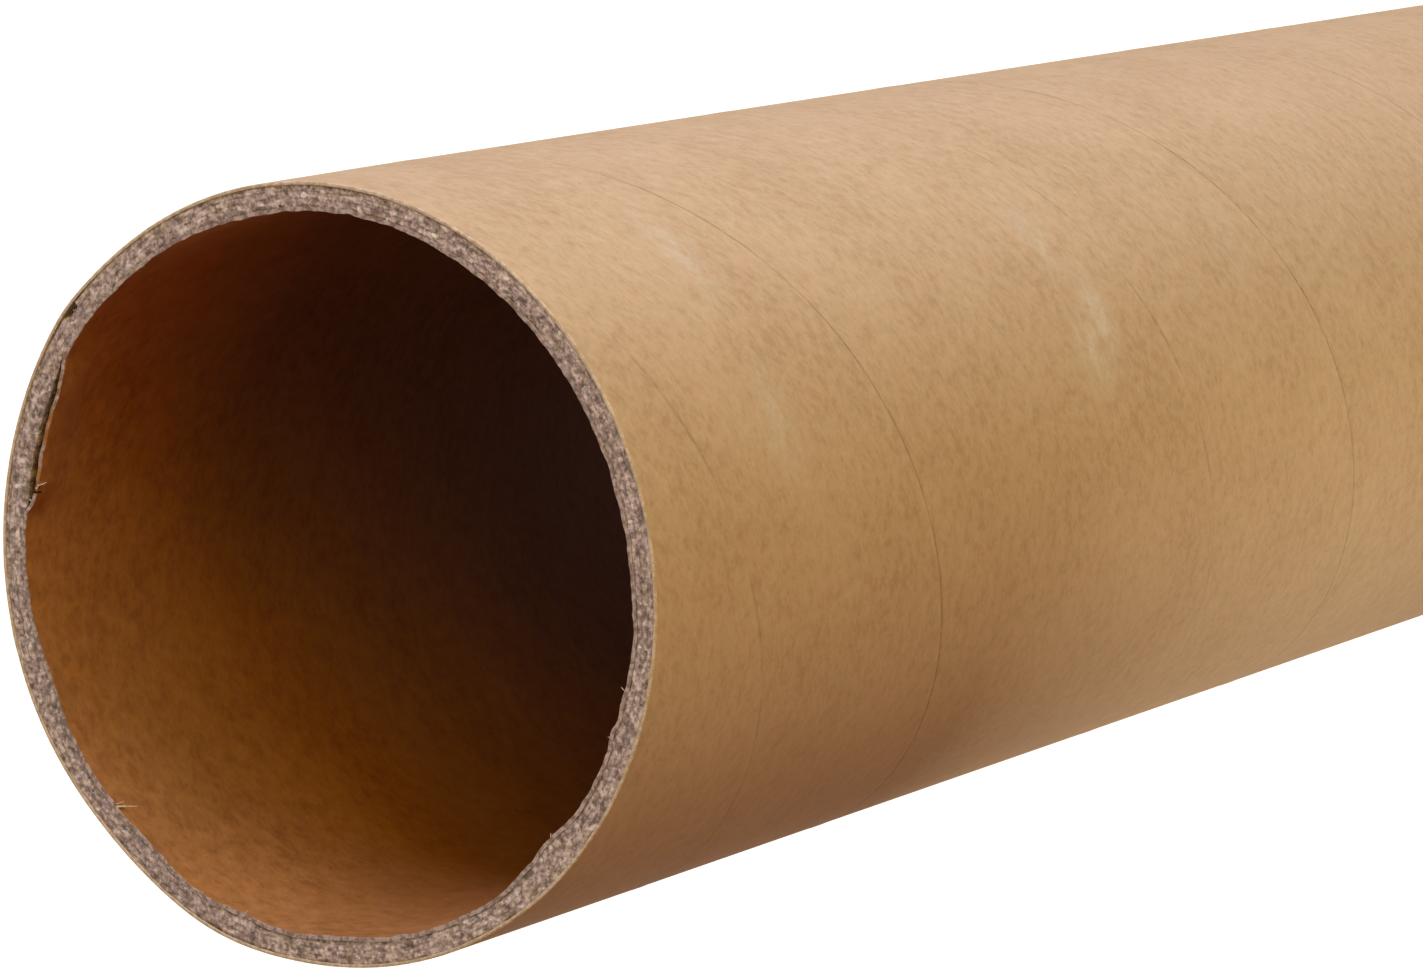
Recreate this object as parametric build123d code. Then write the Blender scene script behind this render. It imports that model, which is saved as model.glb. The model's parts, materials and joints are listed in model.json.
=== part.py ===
from build123d import *
import math
import os

# Cardboard mailing tube, spiral wound, open at both ends. Millimetres.
#
# The tube stands on its square-cut lower end: +Z runs up its axis, and the
# origin is the centre of that end. The worn mouth is at the top. Angles run
# counter-clockwise from +X, seen from above.
#
# Three materials are glued one over the other: a smooth kraft liner inside, a
# thick grey chipboard body, and a smooth kraft wrap outside. The wrap is one
# long strip wound as a right-handed helix whose edges meet in a butt seam.

# Driving dimensions
BORE_RADIUS = 38.1            # takes a standard 3 in end plug
LENGTH = 610.0                # 24 in stock length
LINER_PLY = 0.45              # inner kraft ply
BODY_WALL = 2.15              # chipboard plies together
WRAP_PLY = 0.45               # outer kraft ply
STRIP_LEAD = 103.7            # advance of the wrap strip in one turn
SEAM_GAP = 0.3                # open gap left along the butt seam, along the axis
SEAM_MOUTH_ANGLE = 103.0      # where the seam runs out at the mouth, degrees

# Places at the mouth where the layers have come apart
LIFT_ANGLE = 66.0             # middle of the stretch where the liner has let go
LIFT_SPAN = 19.0              # degrees of the bore that it covers
LIFT_DEPTH = 9.0              # how far the gap reaches down the tube
LIFT_GAP = 0.6                # radial width of the gap at the mouth
TEAR_WIDTH = 0.4              # slit torn in the liner beside the lifted stretch
VOID_ANGLE = 47.0             # middle of the crack under the wrap
VOID_SPAN = 6.0               # degrees that the crack covers
VOID_DEPTH = 4.0              # how far the crack reaches down the tube
VOID_GAP = 0.45               # radial width of the crack

# Cutting tools run this far past the faces that they open
OVERRUN = 1.0
SEAM_OVERRUN = 0.3            # the seam's tool stays thin, in and out of the ply
SEAM_END_OVERRUN = 2.0        # and passes both ends by this much

BODY_INNER = BORE_RADIUS + LINER_PLY
BODY_OUTER = BODY_INNER + BODY_WALL
OUTER_RADIUS = BODY_OUTER + WRAP_PLY
MOUTH = Pos(0, 0, LENGTH)


def layer(inner_radius, outer_radius):
    """One full-length layer of the wall, square at both ends."""
    section = Circle(outer_radius) - Circle(inner_radius)
    return extrude(section, LENGTH)


def helical_seam(inner_radius, outer_radius, mouth_angle):
    """A thin ribbon of space that follows the strip's edge through one ply."""
    radius = (inner_radius + outer_radius) / 2
    depth = outer_radius - inner_radius + 2 * SEAM_OVERRUN
    helix_angle = math.atan(STRIP_LEAD / (2 * math.pi * radius))
    gap_across = SEAM_GAP * math.cos(helix_angle)
    path = Helix(STRIP_LEAD, LENGTH + 2 * SEAM_END_OVERRUN, radius)
    start = Plane(path @ 0, x_dir=(1, 0, 0), z_dir=path % 0)
    ribbon = sweep(start * Rectangle(depth, gap_across), path=path, is_frenet=True)
    turn_to_mouth = 360 * (LENGTH + SEAM_END_OVERRUN) / STRIP_LEAD
    start_angle = mouth_angle - turn_to_mouth
    return Pos(0, 0, -SEAM_END_OVERRUN) * Rot(0, 0, start_angle) * ribbon


def wedge_of_ring(inner_radius, outer_radius, mid_angle, span, depth):
    """A curved pocket that opens at the mouth and runs down between two radii."""
    ring = Circle(outer_radius) - Circle(inner_radius)
    reach = 2 * outer_radius
    half = math.radians(span / 2)
    far = (reach * math.cos(half), reach * math.sin(half))
    sector = make_face(Polyline((0, 0), far, (far[0], -far[1]), close=True))
    pocket = extrude(ring & sector, depth + OVERRUN)
    return MOUTH * Pos(0, 0, -depth) * Rot(0, 0, mid_angle) * pocket


def make_wrap():
    """Outer kraft strip: a helical ribbon, open along its butt seam."""
    seam = helical_seam(BODY_OUTER, OUTER_RADIUS, SEAM_MOUTH_ANGLE)
    return layer(BODY_OUTER, OUTER_RADIUS) - seam


def make_body():
    """Chipboard body, hollowed at the mouth behind the two loose places."""
    behind_liner = wedge_of_ring(
        BODY_INNER - OVERRUN, BODY_INNER + LIFT_GAP, LIFT_ANGLE, LIFT_SPAN, LIFT_DEPTH)
    under_wrap = wedge_of_ring(
        BODY_OUTER - VOID_GAP, BODY_OUTER + OVERRUN, VOID_ANGLE, VOID_SPAN, VOID_DEPTH)
    return layer(BODY_INNER, BODY_OUTER) - behind_liner - under_wrap


def make_liner():
    """Inner kraft ply, torn down from the mouth beside the lifted stretch."""
    tear_span = math.degrees(TEAR_WIDTH / BORE_RADIUS)
    tear_angle = LIFT_ANGLE + (LIFT_SPAN + tear_span) / 2
    tear = wedge_of_ring(
        BORE_RADIUS - OVERRUN, BODY_INNER + OVERRUN, tear_angle, tear_span, LIFT_DEPTH)
    return layer(BORE_RADIUS, BODY_INNER) - tear


PIECES = {
    "outer_kraft_wrap": make_wrap,
    "chipboard_body": make_body,
    "inner_kraft_liner": make_liner,
}

os.makedirs("parts", exist_ok=True)
for name, make in PIECES.items():
    piece = make()
    piece.label = name
    export_step(piece, f"parts/{name}.step")
    print(name, len(piece.solids()), "solid", round(piece.volume / 1000, 2), "cm3")
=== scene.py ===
import json
import math
import random

import bmesh
import bpy
import numpy as np
from mathutils import Matrix, Vector, noise


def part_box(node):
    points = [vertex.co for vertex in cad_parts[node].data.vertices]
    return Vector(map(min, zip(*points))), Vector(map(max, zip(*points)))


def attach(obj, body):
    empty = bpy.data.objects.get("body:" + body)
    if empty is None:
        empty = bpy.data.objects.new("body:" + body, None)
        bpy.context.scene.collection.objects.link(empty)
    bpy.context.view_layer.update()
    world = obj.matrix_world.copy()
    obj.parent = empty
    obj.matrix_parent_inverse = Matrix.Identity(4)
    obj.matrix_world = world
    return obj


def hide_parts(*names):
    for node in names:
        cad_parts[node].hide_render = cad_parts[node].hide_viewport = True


# The looks of a spiral-wound cardboard mailing tube that stands on its end.
# Lengths are metres. Angles are degrees counter-clockwise from +X, seen from
# above. Depth is measured down the tube from the mouth.

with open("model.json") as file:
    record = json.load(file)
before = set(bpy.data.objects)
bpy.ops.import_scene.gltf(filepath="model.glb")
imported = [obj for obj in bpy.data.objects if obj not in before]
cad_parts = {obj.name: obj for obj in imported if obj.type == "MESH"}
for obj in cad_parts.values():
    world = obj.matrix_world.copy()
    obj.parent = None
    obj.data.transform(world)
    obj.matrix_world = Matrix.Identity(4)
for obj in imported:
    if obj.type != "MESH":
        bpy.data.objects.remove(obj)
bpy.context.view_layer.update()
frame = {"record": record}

MM = 0.001
SEED = 7

# The CAD layers give every radius and the length
MOUNTS = {mount["name"]: mount for mount in frame["record"]["mounts"]}
BORE = MOUNTS["mouth_plug_bore"]["dims"]["r_mm"] * MM
LINER_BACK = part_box("inner_kraft_liner")[1][0]
WRAP_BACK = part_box("chipboard_body")[1][0]
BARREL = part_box("outer_kraft_wrap")[1][0]
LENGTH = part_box("outer_kraft_wrap")[1][2]
MOUTH = Vector((0, 0, LENGTH))

# Winding of the strips, as in the CAD
STRIP_LEAD = 103.7 * MM         # advance in one turn
SEAM_MOUTH_ANGLE = 103.0        # where the wrap's butt seam meets the mouth
UNDER_SEAM_MOUTH_ANGLE = 330.0  # where the seam of the ply beneath does
SEAM_GAP = 0.05 * MM            # the butt seam, nearly closed by its crushed edges
SKIN_DROP = 0.06 * MM           # keeps the seams' raised lips inside the CAD box
GLUE_GAP = 0.01 * MM            # keeps glued faces from meeting exactly

# Places at the mouth where the layers have come apart, as in the CAD
TEAR_ANGLE = 76.0               # short slit torn down the liner
LIFT_FROM = 81.0                # the liner stands off the body from here
LIFT_FULL = (74.5, 60.0)        # fully between these
LIFT_TO = 51.0                  # and is glued again from here
LIFT_REACH = 9.0 * MM           # how far down it stands off
LIFT_HEIGHT = 1.15 * MM         # how far it stands into the bore
LIFT_SAG = 0.10                 # share by which its far end hangs back
VOID_ANGLE = 46.5               # crack between wrap and body
VOID_HALF = 1.7                 # half its width, in degrees
VOID_DEPTH = 1.2 * MM

# Where the whole wall is out of round at the mouth: centre, width, millimetres
WALL_BUMPS = [
    (90, 48, -0.28),
    (157, 8, 0.42),
    (132, 10, -0.28),
    (50, 9, 0.26),
    (300, 40, -0.08),
]
# Burrs and dents along the inner edge of the cut
EDGE_BUMPS = [
    (224, 3.8, -0.80),
    (217, 2.5, -0.25),
    (160, 3.2, -0.40),
    (108, 6.0, -0.55),
    (180, 6.0, -0.30),
    (245, 1.3, -0.35),
    (259, 4.0, 0.28),
    (10, 8.0, -0.20),
    (78, 2.0, -0.35),
    (140, 3.0, -0.20),
]
# How far down the tube the three kinds of unevenness reach
WALL_BUMP_REACH = 22 * MM
EDGE_BUMP_REACH = 4 * MM
RAGGED_REACH = 1.6 * MM


# ---------------------------------------------------------------- shape fields

def hump(angle, centre, width):
    """A smooth bump over the angle, 1 at its centre."""
    off = (angle - centre + 180) % 360 - 180
    return np.exp(-0.5 * (off / width) ** 2)


def fade(depth, reach):
    """1 at the mouth, falling smoothly to 0 at the reach."""
    t = np.clip(depth / reach, 0, 1)
    return (1 - t) ** 2 * (1 + 2 * t)


def ring_noise(angle, per_turn, seed):
    """Smooth noise round the ring, about -1 to 1, with so many bumps a turn."""
    radius = per_turn / (2 * math.pi)
    turn = np.radians(np.asarray(angle, dtype=float)).ravel()
    values = [
        noise.noise((radius * math.cos(a), radius * math.sin(a), seed * 9.7)) for a in turn
    ]
    return 1.6 * np.array(values).reshape(np.shape(angle))


def wall_shift(angle, depth):
    """How far the whole wall stands out of round, outwards positive."""
    shift = sum(hump(angle, at, width) * size * MM for at, width, size in WALL_BUMPS)
    return shift * fade(depth, WALL_BUMP_REACH)


def edge_shift(angle, depth):
    """How far the bore's edge is pushed in or out by the cut."""
    shift = sum(hump(angle, at, width) * size * MM for at, width, size in EDGE_BUMPS)
    ragged = 0.09 * MM * ring_noise(angle, 150, 3) + 0.06 * MM * ring_noise(angle, 420, 4)
    return shift * fade(depth, EDGE_BUMP_REACH) + ragged * fade(depth, RAGGED_REACH)


def smooth(t):
    """0 to 1 with level ends."""
    t = np.clip(t, 0, 1)
    return t * t * (3 - 2 * t)


def loose(angle):
    """1 where the liner stands fully off the body, 0 where it is glued."""
    turn = np.asarray(angle) % 360
    rising = smooth((turn - LIFT_TO) / (LIFT_FULL[1] - LIFT_TO))
    falling = smooth((LIFT_FROM - turn) / (LIFT_FROM - LIFT_FULL[0]))
    return rising * falling


def lift(angle, depth):
    """How far the loose stretch of the liner stands into the bore."""
    sag = 1 - LIFT_SAG * hump(angle, LIFT_FULL[1], 4)
    return LIFT_HEIGHT * loose(angle) * sag * fade(depth, LIFT_REACH)


# ---------------------------------------------------------------- mesh helpers

def polar(radius, angle, height):
    """Points from radius, angle in degrees and height, as an array of rows."""
    turn = np.radians(angle)
    return np.stack([radius * np.cos(turn), radius * np.sin(turn), height], axis=-1)


def grid_faces(rows, columns, wrap_rows=False):
    """Quads of a grid of points numbered row by row."""
    last = rows if wrap_rows else rows - 1
    i, j = np.meshgrid(np.arange(last), np.arange(columns - 1), indexing="ij")
    after = (i + 1) % rows
    quads = [i * columns + j, after * columns + j, after * columns + j + 1, i * columns + j + 1]
    return np.stack(quads, axis=-1).reshape(-1, 4)


def add_mesh(name, points, faces, uvs=None):
    """A smooth-shaded mesh object; uvs are one pair for each point, in metres."""
    mesh = bpy.data.meshes.new(name)
    mesh.from_pydata(points.tolist(), [], [list(face) for face in faces])
    if uvs is not None:
        layer = mesh.uv_layers.new(name="strip")
        corner = np.empty(len(mesh.loops), dtype=np.int32)
        mesh.loops.foreach_get("vertex_index", corner)
        layer.uv.foreach_set("vector", uvs[corner].astype(np.float32).ravel())
    mesh.polygons.foreach_set("use_smooth", np.ones(len(mesh.polygons), dtype=bool))
    mesh.update()
    piece = bpy.data.objects.new(name, mesh)
    bpy.context.scene.collection.objects.link(piece)
    return piece


def sharpen(piece, degrees):
    """Keeps edges sharper than this angle crisp under smooth shading."""
    piece.data.set_sharp_from_angle(angle=math.radians(degrees))


def finish_piece(piece, node, material):
    """Rides the piece on the tube, in place of its CAD layer."""
    piece.data.materials.append(material)
    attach(piece, "root")
    if node:
        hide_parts(node)


def strip_uv(angle, height, radius):
    """Distance along and across the wound strip."""
    slope = math.atan(STRIP_LEAD / (2 * math.pi * radius))
    arc = np.radians(angle) * radius
    along = arc * math.cos(slope) + height * math.sin(slope)
    across = height * math.cos(slope) - arc * math.sin(slope)
    return np.stack([along, across], axis=-1)


# ---------------------------------------------------------------- the wrap

STEP = 2.0                      # degrees between the rows of the wound strip
MOUTH_LOOPS = [0.1, 0.25, 0.5, 0.9, 1.6, 2.6, 4, 6, 9, 13, 18, 24]   # mm below the mouth
FOOT_LOOPS = [0.15, 0.5, 1.5]                                        # mm above the foot
UNDER_SEAM = STRIP_LEAD * ((SEAM_MOUTH_ANGLE - UNDER_SEAM_MOUTH_ANGLE) % 360) / 360
EDGE_LOOPS = [0.1, 0.22, 0.45, 0.9, 1.8, 4, 9]                       # mm in from each edge
# mm either side of the seam in the ply beneath
CREASE_LOOPS = [-10, -4, -1.6, -0.8, -0.4, -0.18, 0, 0.18, 0.4, 0.8, 1.6, 4, 10]
DIP_DEPTH = 0.05 * MM           # a seam is a narrow dip
DIP_WIDTH = 0.16 * MM
LIP_HEIGHT = 0.035 * MM         # with a raised lip on its mouth side
LIP_AWAY = 0.75 * MM
LIP_WIDTH = 0.4 * MM
UNDER_SEAM_SHARE = 0.8          # how strongly the ply beneath prints its seam through
RIM_BULGE = 0.04 * MM           # the sawn edge of the wrap is highest along its middle
RIM_RAGGED = 0.04 * MM
WRAP_LEAST = 0.2 * MM           # the wrap is nowhere thinner than this


def seam_height(angle, mouth_angle):
    """Height of a helical seam at an angle that counts whole turns."""
    return LENGTH + STRIP_LEAD * (angle - mouth_angle) / 360


def strip_columns():
    """Distances up from the strip's lower edge, crowded where it is creased."""
    low = [SEAM_GAP / 2] + [SEAM_GAP / 2 + d * MM for d in EDGE_LOOPS]
    high = [STRIP_LEAD - d for d in reversed(low)]
    middle = [UNDER_SEAM + d * MM for d in CREASE_LOOPS]
    plain_low = np.linspace(low[-1], middle[0], 4)[1:-1].tolist()
    plain_high = np.linspace(middle[-1], high[0], 6)[1:-1].tolist()
    return np.array(low + plain_low + middle + plain_high + high)


def crease_relief(away, weight):
    """Cross section of a seam: a narrow dip with a raised lip on its mouth side."""
    dip = -DIP_DEPTH * np.exp(-np.abs(away) / DIP_WIDTH)
    lip = LIP_HEIGHT * np.exp(-0.5 * ((away - LIP_AWAY) / LIP_WIDTH) ** 2)
    return weight * (dip + lip)


def wrap_relief(across):
    """Height of the wrap over its plain radius, by place across the strip."""
    edge = crease_relief(across, 1.0) + crease_relief(across - STRIP_LEAD, 1.0)
    return edge + crease_relief(across - UNDER_SEAM, UNDER_SEAM_SHARE)


def wound_sheet():
    """The strip cut square at both ends: angle, place across, height, and faces."""
    columns = strip_columns()
    turns = LENGTH / STRIP_LEAD + 1
    angles = SEAM_MOUTH_ANGLE - np.arange(0, turns * 360 + 2 * STEP, STEP)[::-1]
    angle, across = np.meshgrid(angles, columns, indexing="ij")
    height = seam_height(angle, SEAM_MOUTH_ANGLE) + across
    points = np.stack([angle.ravel(), across.ravel(), height.ravel()], axis=-1)
    bm = bmesh.new()
    verts = [bm.verts.new((a * MM, c, h)) for a, c, h in points]
    for face in grid_faces(len(angles), len(columns)):
        bm.faces.new([verts[k] for k in face])
    loops = [LENGTH - d * MM for d in MOUTH_LOOPS] + [d * MM for d in FOOT_LOOPS]
    cuts = [(level, 1, False) for level in loops] + [(LENGTH, 1, True), (0, -1, True)]
    for level, up, trims in cuts:
        everything = bm.verts[:] + bm.edges[:] + bm.faces[:]
        bmesh.ops.bisect_plane(bm, geom=everything, plane_co=(0, 0, level),
                               plane_no=(0, 0, up), clear_outer=trims)
    bm.verts.index_update()
    sheet = np.array([vert.co for vert in bm.verts])
    faces = [[vert.index for vert in face.verts] for face in bm.faces]
    bm.free()
    return sheet[:, 0] / MM, sheet[:, 1], sheet[:, 2], faces


def open_edges(faces):
    """Edges that only one face uses, in that face's order."""
    used = {(face[k - 1], face[k]) for face in faces for k in range(len(face))}
    return sorted((a, b) for a, b in used if (b, a) not in used)


def close_shell(front, back, faces, uv, bulge):
    """Two skins with the same faces, joined round their rims by an edge that may bulge."""
    count = len(front)
    rim = open_edges(faces)
    rim_points = sorted({point for edge in rim for point in edge})
    middle_of = {point: 2 * count + k for k, point in enumerate(rim_points)}
    middle = (front[rim_points] + back[rim_points]) / 2
    middle[:, 2] += bulge[rim_points]
    sides = []
    for a, b in rim:
        sides.append((b, a, middle_of[a], middle_of[b]))
        sides.append((middle_of[b], middle_of[a], a + count, b + count))
    backs = [[point + count for point in reversed(face)] for face in faces]
    points = np.concatenate([front, back, middle])
    return points, list(faces) + backs + sides, np.concatenate([uv, uv, uv[rim_points]])


def make_wrap(material):
    """The outer kraft strip, wound up the tube with its edges butted."""
    angle, across, height, faces = wound_sheet()
    depth = LENGTH - height
    # both ends are rounded over, the worn mouth more than the foot
    crushed = 0.10 * MM * np.exp(-depth / (0.12 * MM))
    crushed = crushed + 0.04 * MM * np.exp(-height / (0.2 * MM))
    wave = 0.035 * MM * ring_noise(angle, 9, 5) * fade(depth, 150 * MM)
    lifted = 0.15 * MM * hump(angle, VOID_ANGLE, 4) * fade(depth, 5 * MM)
    shift = wall_shift(angle, depth) + lifted
    front_r = BARREL - SKIN_DROP + wrap_relief(across) + shift - crushed - np.abs(wave)
    back_r = WRAP_BACK + GLUE_GAP + shift
    at_mouth = depth < 1e-6
    ragged = at_mouth * (RIM_BULGE + RIM_RAGGED * np.abs(1 + ring_noise(angle, 300, 6)))
    front = polar(front_r, angle, height - ragged)
    back = polar(np.minimum(back_r, front_r - WRAP_LEAST), angle, height - ragged)
    uv = strip_uv(angle, height, BARREL)
    points, all_faces, uvs = close_shell(front, back, faces, uv, RIM_BULGE * at_mouth)
    piece = add_mesh("kraft_wrap_strip", points, all_faces, uvs)
    sharpen(piece, 50)
    finish_piece(piece, "outer_kraft_wrap", material)


# ---------------------------------------------------------------- the body

BODY_TURN = 1440                # points round the ring
RING_LINES = 17                 # points across the cut face
FOOT_LINES = 7                  # points across the foot
INNER_LOOPS = (0.35, 0.9, 2, 4, 7, 10, 14, 22)      # mm below the mouth, down the bore
OUTER_LOOPS = (22, 14, 9, 5, 2.5, 1.2, 0.4)         # and up the outside
FOOT_LOOP = 1 * MM
CUT_DROP = 0.16 * MM            # the cut face lies this far below the wrap's rim
CRUMB_HEIGHT = 0.13 * MM
FOOT_CRUMB_HEIGHT = 0.05 * MM
EDGE_DROP = 0.05 * MM           # both edges of the cut face are rounded
EDGE_DROP_WIDTH = 0.05          # as a share of the wall
PEEL = 0.40 * MM                # skin of the body that came away with the liner
VOID_START = 0.70               # the crack opens from here, as a share of the wall


def cut_face_relief(radius, turn, seed):
    """Crumbly relief of sawn plies at a place of the cut, up to about 1."""
    around = (math.cos(turn) * BARREL, math.sin(turn) * BARREL)

    def layered(length, thickness, offset):
        """Noise drawn out along the ring."""
        return noise.noise((around[0] / length, around[1] / length, radius / thickness + offset))

    streak = layered(0.9 * MM, 0.42 * MM, seed)
    crumb = layered(0.45 * MM, 0.34 * MM, seed + 50)
    pit = layered(0.9 * MM, 0.6 * MM, seed + 110)
    return 0.55 * streak + 0.5 * crumb - 2.2 * max(0.0, pit - 0.34)


def body_profile():
    """Half section of the body as (across, height, kind) points, foot to mouth and back."""
    ring = np.linspace(0, 1, RING_LINES)
    inner = [LENGTH - d * MM for d in INNER_LOOPS] + [LENGTH / 2, FOOT_LOOP]
    outer = [FOOT_LOOP, LENGTH / 2] + [LENGTH - d * MM for d in OUTER_LOOPS]
    foot = [(across, 0.0, "foot") for across in np.linspace(0, 1, FOOT_LINES)]
    wall_out = [(1.0, height, "wall") for height in outer]
    mouth = [(across, LENGTH, "mouth") for across in ring[::-1]]
    wall_in = [(0.0, height, "wall") for height in inner]
    return foot + wall_out + mouth + wall_in


def make_body(material):
    """The chipboard wall, with a crumbly cut face at the mouth."""
    profile = body_profile()
    angles = np.arange(BODY_TURN) * 360 / BODY_TURN
    across = np.array([point[0] for point in profile])
    level = np.array([point[1] for point in profile])
    angle, across = np.meshgrid(angles, across, indexing="ij")
    height = np.broadcast_to(level, angle.shape).copy()
    depth = LENGTH - height
    inner = LINER_BACK + wall_shift(angle, depth) + edge_shift(angle, depth)
    inner = inner - PEEL * loose(angle) * fade(depth, LIFT_REACH)
    outer = WRAP_BACK - GLUE_GAP + wall_shift(angle, depth)
    radius = inner + (outer - inner) * across
    turn = np.radians(angle)
    for column, (_, _, kind) in enumerate(profile):
        if kind == "wall":
            continue
        at_mouth = kind == "mouth"
        for row in range(BODY_TURN):
            seed = SEED if at_mouth else SEED + 30
            relief = cut_face_relief(radius[row, column], turn[row, column], seed)
            if at_mouth:
                height[row, column] += CRUMB_HEIGHT * min(relief, 1.0) - CUT_DROP
            else:
                height[row, column] += FOOT_CRUMB_HEIGHT * max(0.0, relief)
    mouth = np.array([point[2] == "mouth" for point in profile])
    near_edge = np.exp(-across / EDGE_DROP_WIDTH) + np.exp(-(1 - across) / EDGE_DROP_WIDTH)
    in_void = np.abs(angle - VOID_ANGLE) < VOID_HALF
    void = in_void * np.clip((across - VOID_START) / 0.14, 0, 1)
    ends = np.clip((VOID_HALF - np.abs(angle - VOID_ANGLE)) / 0.9, 0, 1)
    height -= mouth * (EDGE_DROP * near_edge + VOID_DEPTH * void * ends)
    points = polar(radius, angle, height).reshape(-1, 3)
    rows, columns = angle.shape
    faces = grid_faces(rows, columns, wrap_rows=True)
    first, last = np.arange(rows) * columns, np.arange(rows) * columns + columns - 1
    closing = np.stack([first, last, np.roll(last, -1), np.roll(first, -1)], axis=-1)
    piece = add_mesh("chipboard_wall", points, np.concatenate([faces, closing]))
    sharpen(piece, 60)
    finish_piece(piece, "chipboard_body", material)


# ---------------------------------------------------------------- the liner

LINER_STEP = 0.5                # degrees between the liner's points
# Rows down the liner: mm near the mouth, then shares of the length
LINER_ROWS = [0, 0.12, 0.3, 0.6, 1, 1.6, 2.4, 3.4, 4.6, 6, 7.5, 9, 10.5, 12, 14, 17, 22, 30]
LINER_DEEP = [0.08, 0.13, 0.2, 0.3, 0.42, 0.55, 0.7, 0.85, 0.97, 0.995, 1.0]
TEAR_ROWS = 5                   # rows that the slit cuts through
TORN_DROP = 0.16 * MM           # the loose edge tore below the saw cut
TORN_REACH = 2.4 * MM
LINER_DROP = 0.05 * MM          # the rest of its edge lies a little below the rim


def make_liner(material):
    """The inner kraft ply, torn and standing off the body at one place."""
    depths = np.array([d * MM for d in LINER_ROWS] + [share * LENGTH for share in LINER_DEEP])
    angles = np.arange(0, 360, LINER_STEP)
    angle, depth = np.meshgrid(angles, depths, indexing="ij")
    shift = wall_shift(angle, depth) + edge_shift(angle, depth) - lift(angle, depth)
    ragged = LINER_DROP * (1 + ring_noise(angles, 260, 8))[:, None] * (depth == 0)
    torn_drop = TORN_DROP * loose(angle) * (1 + 0.4 * ring_noise(angle, 160, 12))
    drop = (LINER_DROP + torn_drop) * fade(depth, TORN_REACH) + ragged
    height = np.maximum(LENGTH - drop - depth, 0).ravel()
    angle = angle.ravel()
    front = polar((BORE + shift).ravel(), angle, height)
    back = polar((LINER_BACK - GLUE_GAP + shift).ravel(), angle, height)
    faces = grid_faces(len(angles), len(depths), wrap_rows=True)
    row, column = np.divmod(np.arange(len(faces)), len(depths) - 1)
    torn = (row == round(TEAR_ANGLE / LINER_STEP)) & (column < TEAR_ROWS)
    uv = strip_uv(angle, height, BORE)
    points, all_faces, uvs = close_shell(front, back, faces[~torn].tolist(), uv, 0 * height)
    piece = add_mesh("kraft_liner_ply", points, all_faces, uvs)
    sharpen(piece, 50)
    finish_piece(piece, "inner_kraft_liner", material)


# ---------------------------------------------------------------- loose fibres

# angle, mm out from the bore wall, then lean inwards, twist along the ring and drop
# down the bore, then length and thickness in mm
LONG_FIBRES = [
    (131.0, 0.2, 0.60, 0.61, 0.50, 2.1, 0.24),
    (130.6, 0.3, 0.75, 0.35, 0.40, 1.1, 0.16),
    (75.0, -1.1, 0.80, -0.30, 0.30, 0.9, 0.20),
    (75.6, -1.0, 0.30, -0.80, 0.30, 0.8, 0.18),
    (77.6, -0.3, 0.50, 0.50, 0.20, 0.6, 0.14),
    (252.8, 0.0, 0.70, 0.20, 0.10, 0.7, 0.08),
    (224.6, -0.6, 0.60, 0.30, 0.10, 0.6, 0.14),
    (160.4, -0.3, 0.80, 0.40, 0.20, 0.6, 0.12),
    (245.0, -0.2, 0.70, -0.40, 0.10, 0.6, 0.10),
    (120.0, 0.1, 0.40, 0.60, 0.10, 0.6, 0.07),
]
FUZZ_COUNT = 140
FUZZ_PLACES = (0.1, 0.5, 1.3, 2.2, 2.9)     # mm out from the bore wall
FIBRE_STEPS = 6
FIBRE_TAPER = 0.8               # share of the thickness lost by the tip
FIBRE_ROOT = 0.2 * MM           # below the rim
FIBRE_SAG = 0.25                # droop of the tip, as a share of the length


def fibre(start, way, droop, length, thickness):
    """Points and faces of one tapered fibre, square in section."""
    side = way.cross(Vector((0, 0, 1)))
    side = side.normalized() if side.length > 1e-6 else Vector((1, 0, 0))
    points = []
    for k in range(FIBRE_STEPS + 1):
        t = k / FIBRE_STEPS
        centre = start + way * (length * t) + droop * (length * t * t)
        over = way.cross(side).normalized()
        half = thickness / 2 * (1 - FIBRE_TAPER * t)
        points += [centre + side * (x * half) + over * (y * half)
                   for x, y in ((-1, -1), (1, -1), (1, 1), (-1, 1))]
    faces = [(4 * k + j, 4 * k + (j + 1) % 4, 4 * k + 4 + (j + 1) % 4, 4 * k + 4 + j)
             for k in range(FIBRE_STEPS) for j in range(4)]
    faces += [(3, 2, 1, 0), tuple(4 * FIBRE_STEPS + j for j in range(4))]
    return points, faces


def make_fibres(material):
    """Torn fibres round the mouth: a few long ones and a fuzz of short ones."""
    rng = random.Random(SEED)
    fuzz = [
        (rng.uniform(0, 360), rng.choice(FUZZ_PLACES), rng.uniform(-0.3, 0.8),
         rng.uniform(-0.7, 0.7), 0.12, rng.uniform(0.2, 0.5), rng.uniform(0.04, 0.09))
        for _ in range(FUZZ_COUNT)
    ]
    points, faces = [], []
    for angle, out, lean, twist, drop, length, thickness in LONG_FIBRES + fuzz:
        radial = Vector((math.cos(math.radians(angle)), math.sin(math.radians(angle)), 0))
        tangent = Vector((-radial.y, radial.x, 0))
        start = radial * (BORE + out * MM + float(wall_shift(angle, 0.0)))
        start += Vector((0, 0, LENGTH - FIBRE_ROOT))
        way = (-radial * lean + tangent * twist - Vector((0, 0, drop))).normalized()
        droop = Vector((0, 0, -FIBRE_SAG)) + tangent * rng.uniform(-0.4, 0.4)
        more, quads = fibre(start, way, droop, length * MM, thickness * MM)
        faces += [tuple(len(points) + k for k in quad) for quad in quads]
        points += more
    piece = add_mesh("torn_fibres", np.array(points), faces)
    finish_piece(piece, None, material)


# ---------------------------------------------------------------- materials

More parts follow.
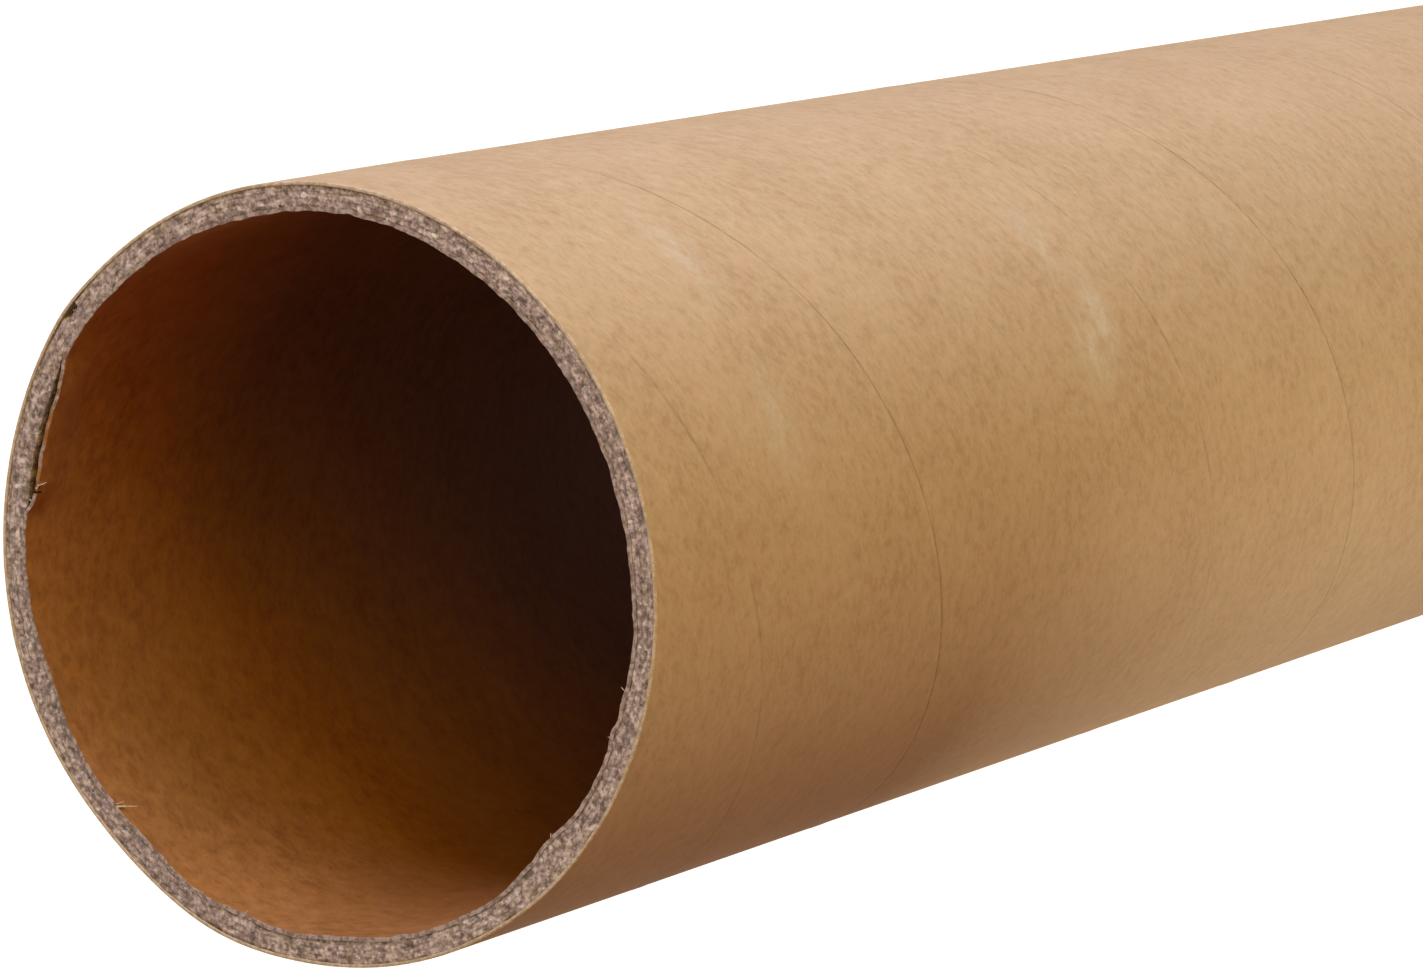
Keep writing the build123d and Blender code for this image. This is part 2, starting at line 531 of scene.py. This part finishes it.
class Graph:
    """A node material with short calls for the nodes that this scene uses."""

    def __init__(self, name):
        self.material = bpy.data.materials.new(name)
        self.material.use_nodes = True
        self.tree = self.material.node_tree
        self.shader = self.tree.nodes["Principled BSDF"]

    def put(self, socket, value):
        """A link or a constant into one socket."""
        if isinstance(value, bpy.types.NodeSocket):
            self.tree.links.new(value, socket)
        else:
            socket.default_value = value

    def add(self, kind, inputs=(), **settings):
        """A node with its settings, and its inputs by number or name."""
        node = self.tree.nodes.new(kind)
        for key, value in settings.items():
            setattr(node, key, value)
        for key, value in dict(inputs).items():
            self.put(node.inputs[key], value)
        return node

    def scaled(self, vector, factors):
        """The vector with each part multiplied."""
        node = self.add("ShaderNodeVectorMath", {0: vector, 1: factors}, operation="MULTIPLY")
        return node.outputs[0]

    def place_mm(self):
        """The place on the object, in millimetres."""
        return self.scaled(self.add("ShaderNodeTexCoord").outputs["Object"], (1000, 1000, 1000))

    def noise(self, vector, scale, detail=2.0, rough=0.5):
        """Noise from 0 to 1, about 0.5."""
        inputs = {"Vector": vector, "Scale": scale, "Detail": detail, "Roughness": rough}
        return self.add("ShaderNodeTexNoise", inputs).outputs["Fac"]

    def spread(self, value, low, high, to_low=0.0, to_high=1.0):
        """The value stretched from one range to another, clamped."""
        inputs = {"Value": value, "From Min": low, "From Max": high,
                  "To Min": to_low, "To Max": to_high}
        return self.add("ShaderNodeMapRange", inputs).outputs["Result"]

    def total(self, *parts):
        """The weighted sum of (value, weight) parts."""
        terms = [self.math("MULTIPLY", value, weight) for value, weight in parts]
        result = terms[0]
        for term in terms[1:]:
            result = self.math("ADD", result, term)
        return result

    def math(self, operation, first, second=0.0):
        """One arithmetic step."""
        node = self.add("ShaderNodeMath", {0: first, 1: second}, operation=operation)
        return node.outputs[0]

    def blend(self, amount, first, second):
        """Two colours mixed by an amount."""
        node = self.add("ShaderNodeMix", data_type="RGBA")
        for socket, value in ((0, amount), (6, first), (7, second)):
            self.put(node.inputs[socket], value)
        return node.outputs[2]

    def bump(self, height, strength, distance):
        """The shader's normal, roughened by a height in metres."""
        inputs = {"Height": height, "Strength": strength, "Distance": distance}
        self.put(self.shader.inputs["Normal"], self.add("ShaderNodeBump", inputs).outputs[0])

    def patch(self, vector, centre, size):
        """1 in the middle of a soft oval, 0 outside it."""
        away = self.add("ShaderNodeVectorMath", {0: vector, 1: centre}, operation="SUBTRACT")
        near = self.scaled(away.outputs[0], tuple(1 / s for s in size))
        length = self.add("ShaderNodeVectorMath", {0: near}, operation="LENGTH")
        return self.spread(length.outputs["Value"], 1.0, 0.2)


def rgb(red, green, blue):
    """A colour written in linear light."""
    return (red, green, blue, 1.0)


def place_on_barrel(angle, depth_mm):
    """A point of the barrel in millimetres."""
    turn = math.radians(angle)
    radius = BARREL / MM
    return (radius * math.cos(turn), radius * math.sin(turn), LENGTH / MM - depth_mm)


# Pale rubbed places on the wrap: angle, depth mm, half sizes along the arc and the axis, strength
SCUFFS = [
    (292, 103, 8.0, 4.0, 0.75),
    (287, 99, 7.0, 5.0, 0.60),
    (308, 99, 9.0, 4.5, 0.40),
    (287, 29, 9.0, 4.5, 0.50),
    (317, 30, 9.0, 4.0, 0.50),
    (300, 142, 9.0, 4.5, 0.25),
]
# Colours of each paper: middle, pale, dark, and the two of its sawn edge
WRAP_TONES = (rgb(0.56, 0.368, 0.215), rgb(0.62, 0.423, 0.262), rgb(0.47, 0.288, 0.152),
              rgb(0.68, 0.52, 0.38), rgb(0.50, 0.355, 0.23))
LINER_TONES = (rgb(0.342, 0.132, 0.030), rgb(0.41, 0.168, 0.043), rgb(0.255, 0.091, 0.021),
               rgb(0.50, 0.37, 0.33), rgb(0.23, 0.155, 0.130))
WARM_FIBRE = rgb(0.62, 0.30, 0.16)
RUBBED = rgb(0.68, 0.56, 0.46)
# Colour of the painted shade along the wrap's seams, standing in for the shade of their grooves
SEAM_PAINTED_SHADE = rgb(0.26, 0.150, 0.075)
SAWN_DEPTH = (0.15, 0.02)       # mm below the mouth where the sawn edge's colour fades in
SEAM_HALF = (0.42 * MM, 0.08 * MM)          # outside and inside of a seam's line of painted shade
BOARD_TONES = (rgb(0.140, 0.100, 0.088), rgb(0.405, 0.298, 0.268), rgb(0.80, 0.635, 0.59))
BOARD_TAN = rgb(0.42, 0.31, 0.20)
BOARD_MAUVE = rgb(0.36, 0.245, 0.25)
BOARD_JOINT = rgb(0.115, 0.085, 0.070)
BOARD_SPECK = rgb(0.80, 0.76, 0.72)
FIBRE_TONES = (rgb(0.42, 0.32, 0.22), rgb(0.66, 0.56, 0.44))
PLIES = 3                       # layers that show in the cut face of the body


def seam_painted_shade(g, strip):
    """Painted shade along the wrap's seam and the one printed through from beneath: 1 along them,
    in broken stretches.
    """
    slope = math.atan(STRIP_LEAD / (2 * math.pi * BARREL))
    mouth_line = LENGTH - STRIP_LEAD * SEAM_MOUTH_ANGLE / 360
    lines = [mouth_line, mouth_line + UNDER_SEAM, mouth_line + STRIP_LEAD]
    across = g.add("ShaderNodeSeparateXYZ", {0: strip}).outputs[1]
    near = 1.0
    for line in lines:
        off = g.math("ABSOLUTE", g.math("SUBTRACT", across, line * math.cos(slope)))
        near = g.math("MINIMUM", near, off)
    mm = g.scaled(strip, (1000, 1000, 0))
    patches = g.spread(g.noise(mm, 0.09, 2.0, 0.5), 0.42, 0.60, 0.12, 1.0)
    dots = g.spread(g.noise(mm, 0.9, 2.0, 0.6), 0.35, 0.60, 0.35, 1.0)
    line = g.spread(near, *SEAM_HALF)
    return g.math("MULTIPLY", g.math("MULTIPLY", line, patches), dots)


def kraft(name, tones, seed, wrapped):
    """Smooth machine-finished kraft: cloudy fibre, fine grain, flecks, rubs, painted shade along
    the seams and a sawn rim.
    """
    g = Graph(name)
    base, pale, dark, rim, rim_dark = tones
    strip = g.add("ShaderNodeUVMap", uv_map="strip").outputs[0]
    place = g.place_mm()
    along = g.add("ShaderNodeVectorMath", {0: strip, 1: (seed, seed * 0.37, 0)}, operation="ADD")
    mm = g.scaled(along.outputs[0], (1000, 1000, 1000))
    clouds = g.noise(mm, 0.06, 3.0, 0.6)
    mottle = g.noise(g.scaled(mm, (0.85, 1, 1)), 0.62, 3.0, 0.65)
    grain = g.noise(g.scaled(mm, (0.6, 1, 1)), 2.0, 3.0, 0.6)
    fleck = g.noise(g.scaled(mm, (0.8, 1, 1)), 1.3, 1.0, 0.4)
    tone = g.total((clouds, 0.25), (mottle, 0.50), (grain, 0.25))
    colour = g.blend(g.spread(tone, 0.385, 0.50), dark, base)
    colour = g.blend(g.spread(tone, 0.50, 0.615), colour, pale)
    warmth = g.spread(g.noise(mm, 0.28, 2.0, 0.5), 0.35, 0.65, 0.0, 0.10)
    colour = g.blend(warmth, colour, WARM_FIBRE)
    colour = g.blend(g.spread(fleck, 0.66, 0.76, 0, 0.5), colour, dark)
    if wrapped:
        worn = 0.0
        for angle, depth, arc, axial, strength in SCUFFS:
            spot = g.patch(place, place_on_barrel(angle, depth), (arc, arc, axial))
            worn = g.math("MAXIMUM", worn, g.math("MULTIPLY", spot, strength))
        broken = g.spread(g.noise(mm, 0.45, 4.0, 0.75), 0.36, 0.60)
        worn = g.math("MULTIPLY", worn, broken)
        colour = g.blend(worn, colour, RUBBED)
        # painted shade: the paper is darkened along the seams, where their grooves would be shaded
        seam_shade = g.math("MULTIPLY", seam_painted_shade(g, strip), 0.55)
        colour = g.blend(seam_shade, colour, SEAM_PAINTED_SHADE)
    height = g.add("ShaderNodeSeparateXYZ", {0: place}).outputs[2]
    ragged = g.math("ADD", height, g.math("MULTIPLY", g.noise(place, 2.0, 2.0, 0.6), 0.3))
    sawn = g.blend(g.spread(g.noise(place, 1.5, 3.0, 0.6), 0.42, 0.58), rim_dark, rim)
    low, high = (LENGTH / MM - depth for depth in SAWN_DEPTH)
    colour = g.blend(g.spread(ragged, low, high), colour, sawn)
    g.put(g.shader.inputs["Base Color"], colour)
    g.put(g.shader.inputs["Roughness"], g.spread(mottle, 0.3, 0.7, 0.58, 0.74))
    g.shader.inputs["Specular IOR Level"].default_value = 0.4
    g.shader.inputs["Sheen Weight"].default_value = 0.22 if wrapped else 0.0
    g.shader.inputs["Sheen Roughness"].default_value = 0.5
    relief = g.total((mottle, 0.6), (grain, 0.4))
    g.bump(relief, 0.28, 0.06 * MM)
    return g.material


def chipboard():
    """Grey recycled board where it is cut: drawn-out plies with dark joints and pale specks."""
    g = Graph("grey_chipboard")
    place = g.place_mm()
    level = g.scaled(place, (1, 1, 0))
    radius = g.add("ShaderNodeVectorMath", {0: level}, operation="LENGTH").outputs["Value"]
    unit = g.add("ShaderNodeVectorMath", {0: level}, operation="NORMALIZE").outputs[0]
    outward = g.add("ShaderNodeCombineXYZ", {2: radius}).outputs[0]
    ring = g.scaled(unit, (BARREL / MM, BARREL / MM, 0))
    ring = g.add("ShaderNodeVectorMath", {0: ring, 1: outward}, operation="ADD").outputs[0]
    streak = g.noise(g.scaled(ring, (0.85, 0.85, 1.3)), 1.0, 3.0, 0.6)
    blotch = g.noise(g.scaled(ring, (1, 1, 1.3)), 0.95, 2.0, 0.5)
    pulp = g.noise(place, 2.3, 3.0, 0.65)
    tone = g.total((streak, 0.25), (blotch, 0.30), (pulp, 0.45))
    dark, middle, pale = BOARD_TONES
    colour = g.blend(g.spread(tone, 0.39, 0.49), dark, middle)
    colour = g.blend(g.spread(tone, 0.49, 0.59), colour, pale)
    hue = g.noise(place, 0.55, 1.0, 0.5)
    colour = g.blend(g.spread(hue, 0.5, 0.65, 0, 0.20), colour, BOARD_TAN)
    colour = g.blend(g.spread(hue, 0.5, 0.35, 0, 0.25), colour, BOARD_MAUVE)
    share = g.spread(radius, LINER_BACK / MM, WRAP_BACK / MM, 0, PLIES)
    wander = g.math("MULTIPLY", g.noise(g.scaled(unit, (12, 12, 12)), 1.0, 2.0, 0.5), 0.5)
    joint = g.math("PINGPONG", g.math("ADD", share, g.math("SUBTRACT", wander, 0.25)), 0.5)
    dotted = g.spread(g.noise(g.scaled(ring, (1, 1, 0.2)), 0.9, 2.0, 0.6), 0.44, 0.58)
    joint = g.math("MULTIPLY", g.spread(joint, 0.22, 0.05, 0, 0.6), dotted)
    colour = g.blend(joint, colour, BOARD_JOINT)
    speck = g.noise(g.scaled(place, (1.1, 0.9, 1)), 1.0, 0.0, 0.5)
    colour = g.blend(g.spread(speck, 0.78, 0.82, 0, 0.9), colour, BOARD_SPECK)
    g.put(g.shader.inputs["Base Color"], colour)
    g.shader.inputs["Roughness"].default_value = 0.9
    g.shader.inputs["Specular IOR Level"].default_value = 0.2
    g.bump(g.math("ADD", pulp, streak), 0.5, 0.1 * MM)
    return g.material


def pulp_fibre():
    """Pale torn fibre, a little uneven."""
    g = Graph("pulp_fibre")
    place = g.place_mm()
    uneven = g.spread(g.noise(place, 1.5, 2.0, 0.5), 0.35, 0.65)
    colour = g.blend(uneven, *FIBRE_TONES)
    g.put(g.shader.inputs["Base Color"], colour)
    g.shader.inputs["Roughness"].default_value = 0.9
    g.bump(uneven, 0.3, 0.02 * MM)
    return g.material


# ---------------------------------------------------------------- studio

FLOOR_HALF = 1.2
FLOOR_PAINT = rgb(0.45, 0.41, 0.32)
FLOOR_GLOW = 0.9                # glow that only the camera sees, short of white in the shadow
SOFTBOX_DISTANCE = 2.2          # metres from the mouth
SOFTBOX_SIZE = 1.3
# Name, angle, elevation, level and colour
SOFTBOXES = [
    ("key", 14, 12, 1.10, rgb(0.71, 0.72, 1.0)),
    ("front", -45, 12, 0.46, rgb(0.80, 1.0, 0.86)),
    ("front_high", -45, 40, 0.38, rgb(1.0, 0.63, 0.0)),
    ("warm", -125, 12, 0.21, rgb(1.0, 0.30, 0.05)),
    ("back", 130, 12, 0.35, rgb(1.0, 0.89, 0.71)),
]
DOWN = Vector((0, 0, -1))
# Places of the camera and its target from the mouth, in radii of the tube
CAMERA_EYE = Vector((1.9023, -9.0715, 12.8394))
CAMERA_AIM = Vector((0.1417, -0.7403, -0.7065))
CAMERA_LENS = 159.37            # millimetres, for a sensor 36 wide


def camera_ray_white(tree, inputs_shader, strength):
    """Adds a white glow that only the camera sees to a shader socket."""
    path = tree.nodes.new("ShaderNodeLightPath")
    glow = tree.nodes.new("ShaderNodeEmission")
    glow.inputs["Color"].default_value = rgb(1, 1, 1)
    level = tree.nodes.new("ShaderNodeMath")
    level.operation = "MULTIPLY"
    level.inputs[1].default_value = strength
    tree.links.new(path.outputs["Is Camera Ray"], level.inputs[0])
    tree.links.new(level.outputs[0], glow.inputs["Strength"])
    both = tree.nodes.new("ShaderNodeAddShader")
    tree.links.new(inputs_shader, both.inputs[0])
    tree.links.new(glow.outputs[0], both.inputs[1])
    return both.outputs[0]


def make_floor():
    """A pale floor, white to the camera except in the tube's shadow."""
    corners = [(x * FLOOR_HALF, y * FLOOR_HALF, 0) for x, y in ((-1, -1), (1, -1), (1, 1), (-1, 1))]
    mesh = bpy.data.meshes.new("floor")
    mesh.from_pydata(corners, [], [(0, 1, 2, 3)])
    floor = bpy.data.objects.new("floor", mesh)
    bpy.context.scene.collection.objects.link(floor)
    g = Graph("floor_white")
    g.shader.inputs["Base Color"].default_value = FLOOR_PAINT
    g.shader.inputs["Roughness"].default_value = 0.9
    g.shader.inputs["Specular IOR Level"].default_value = 0.0
    out = g.tree.nodes["Material Output"]
    white = camera_ray_white(g.tree, g.shader.outputs[0], FLOOR_GLOW)
    g.tree.links.new(white, out.inputs["Surface"])
    mesh.materials.append(g.material)


def make_world(level, colour):
    """Dim even light from all round, and white where the camera looks past the floor."""
    world = bpy.data.worlds.new("studio")
    bpy.context.scene.world = world
    world.use_nodes = True
    tree = world.node_tree
    back = tree.nodes["Background"]
    path = tree.nodes.new("ShaderNodeLightPath")
    white = tree.nodes.new("ShaderNodeBackground")
    white.inputs["Color"].default_value = rgb(1, 1, 1)
    back.inputs["Color"].default_value = colour
    back.inputs["Strength"].default_value = level
    pick = tree.nodes.new("ShaderNodeMixShader")
    tree.links.new(path.outputs["Is Camera Ray"], pick.inputs[0])
    tree.links.new(back.outputs[0], pick.inputs[1])
    tree.links.new(white.outputs[0], pick.inputs[2])
    tree.links.new(pick.outputs[0], tree.nodes["World Output"].inputs["Surface"])


def hang(name, kind, place, toward, watts, colour):
    """Hangs a lamp that the camera does not see, turned the given way."""
    lamp = bpy.data.lights.new(name, kind)
    lamp.energy = watts
    lamp.color = colour[:3]
    holder = bpy.data.objects.new(name, lamp)
    holder.location = place
    holder.rotation_mode = "QUATERNION"
    holder.rotation_quaternion = toward.to_track_quat("-Z", "Y")
    holder.visible_camera = False
    bpy.context.scene.collection.objects.link(holder)
    return lamp


def area_watts(level, distance):
    """Power at which an area lamp that far off lights a facing surface at this level."""
    return level * math.pi ** 2 * distance ** 2


def softbox(name, angle, elevation, level, colour):
    """A square lamp aimed at the mouth; at level 1 it lights a facing surface as written."""
    turn, rise = math.radians(angle), math.radians(elevation)
    way = Vector((math.cos(turn) * math.cos(rise), math.sin(turn) * math.cos(rise), math.sin(rise)))
    place = MOUTH + way * SOFTBOX_DISTANCE
    watts = area_watts(level, SOFTBOX_DISTANCE)
    hang(name, "AREA", place, -way, watts, colour).size = SOFTBOX_SIZE


def low_lamp():
    """A small lamp beside the tube that faces the floor, and lifts the far underside."""
    turn = math.radians(-142)
    away, height, size = 0.26, 0.535, 0.12
    place = Vector((away * math.cos(turn), away * math.sin(turn), height))
    watts = area_watts(1.10, 0.25)
    hang("low", "AREA", place, DOWN, watts, rgb(0.93, 1.0, 0.86)).size = size


def mouth_lamp():
    """A narrow beam down the axis that just covers the cut end."""
    distance, beam_radius, level = 0.6, 0.046, 0.25
    watts = 4 * math.pi ** 2 * distance ** 2 * level
    place = MOUTH - DOWN * distance
    lamp = hang("mouth", "SPOT", place, DOWN, watts, rgb(0.85, 0.95, 1.0))
    lamp.spot_size = 2 * math.atan(beam_radius / distance)
    lamp.spot_blend = 0.1
    lamp.shadow_soft_size = 0.01


def bore_lamp():
    """A faint lamp deep in the bore, which keeps its far wall from going black."""
    height, size = 0.36, 0.05
    place = Vector((0, 0, height))
    watts = area_watts(0.066, 0.10)
    hang("bore", "AREA", place, -DOWN, watts, rgb(1.0, 0.76, 0.84)).size = size


def make_camera():
    """Looks down past the mouth, along the barrel, with +X up in the picture."""
    eye = MOUTH + BARREL * CAMERA_EYE
    aim = MOUTH + BARREL * CAMERA_AIM
    forward = (aim - eye).normalized()
    up = forward.cross(Vector((0, 1, 0))).normalized()
    right = forward.cross(up)
    data = bpy.data.cameras.new("camera")
    data.sensor_width = 36.0
    data.lens = CAMERA_LENS
    camera = bpy.data.objects.new("camera", data)
    turned = Matrix((right, up, -forward)).transposed().to_4x4()
    camera.matrix_world = Matrix.Translation(eye) @ turned
    bpy.context.scene.collection.objects.link(camera)
    bpy.context.scene.camera = camera


def main():
    """Builds the tube, then the studio round it."""
    make_wrap(kraft("kraft_wrap_paper", WRAP_TONES, 3.1, True))
    make_body(chipboard())
    make_liner(kraft("kraft_liner_paper", LINER_TONES, 8.6, False))
    make_fibres(pulp_fibre())
    make_floor()
    make_world(0.01, rgb(1.0, 0.95, 0.88))
    for name, angle, elevation, level, colour in SOFTBOXES:
        softbox(name, angle, elevation, level, colour)
    low_lamp()
    mouth_lamp()
    bore_lamp()
    bpy.context.scene.view_settings.view_transform = "Standard"
    make_camera()


main()
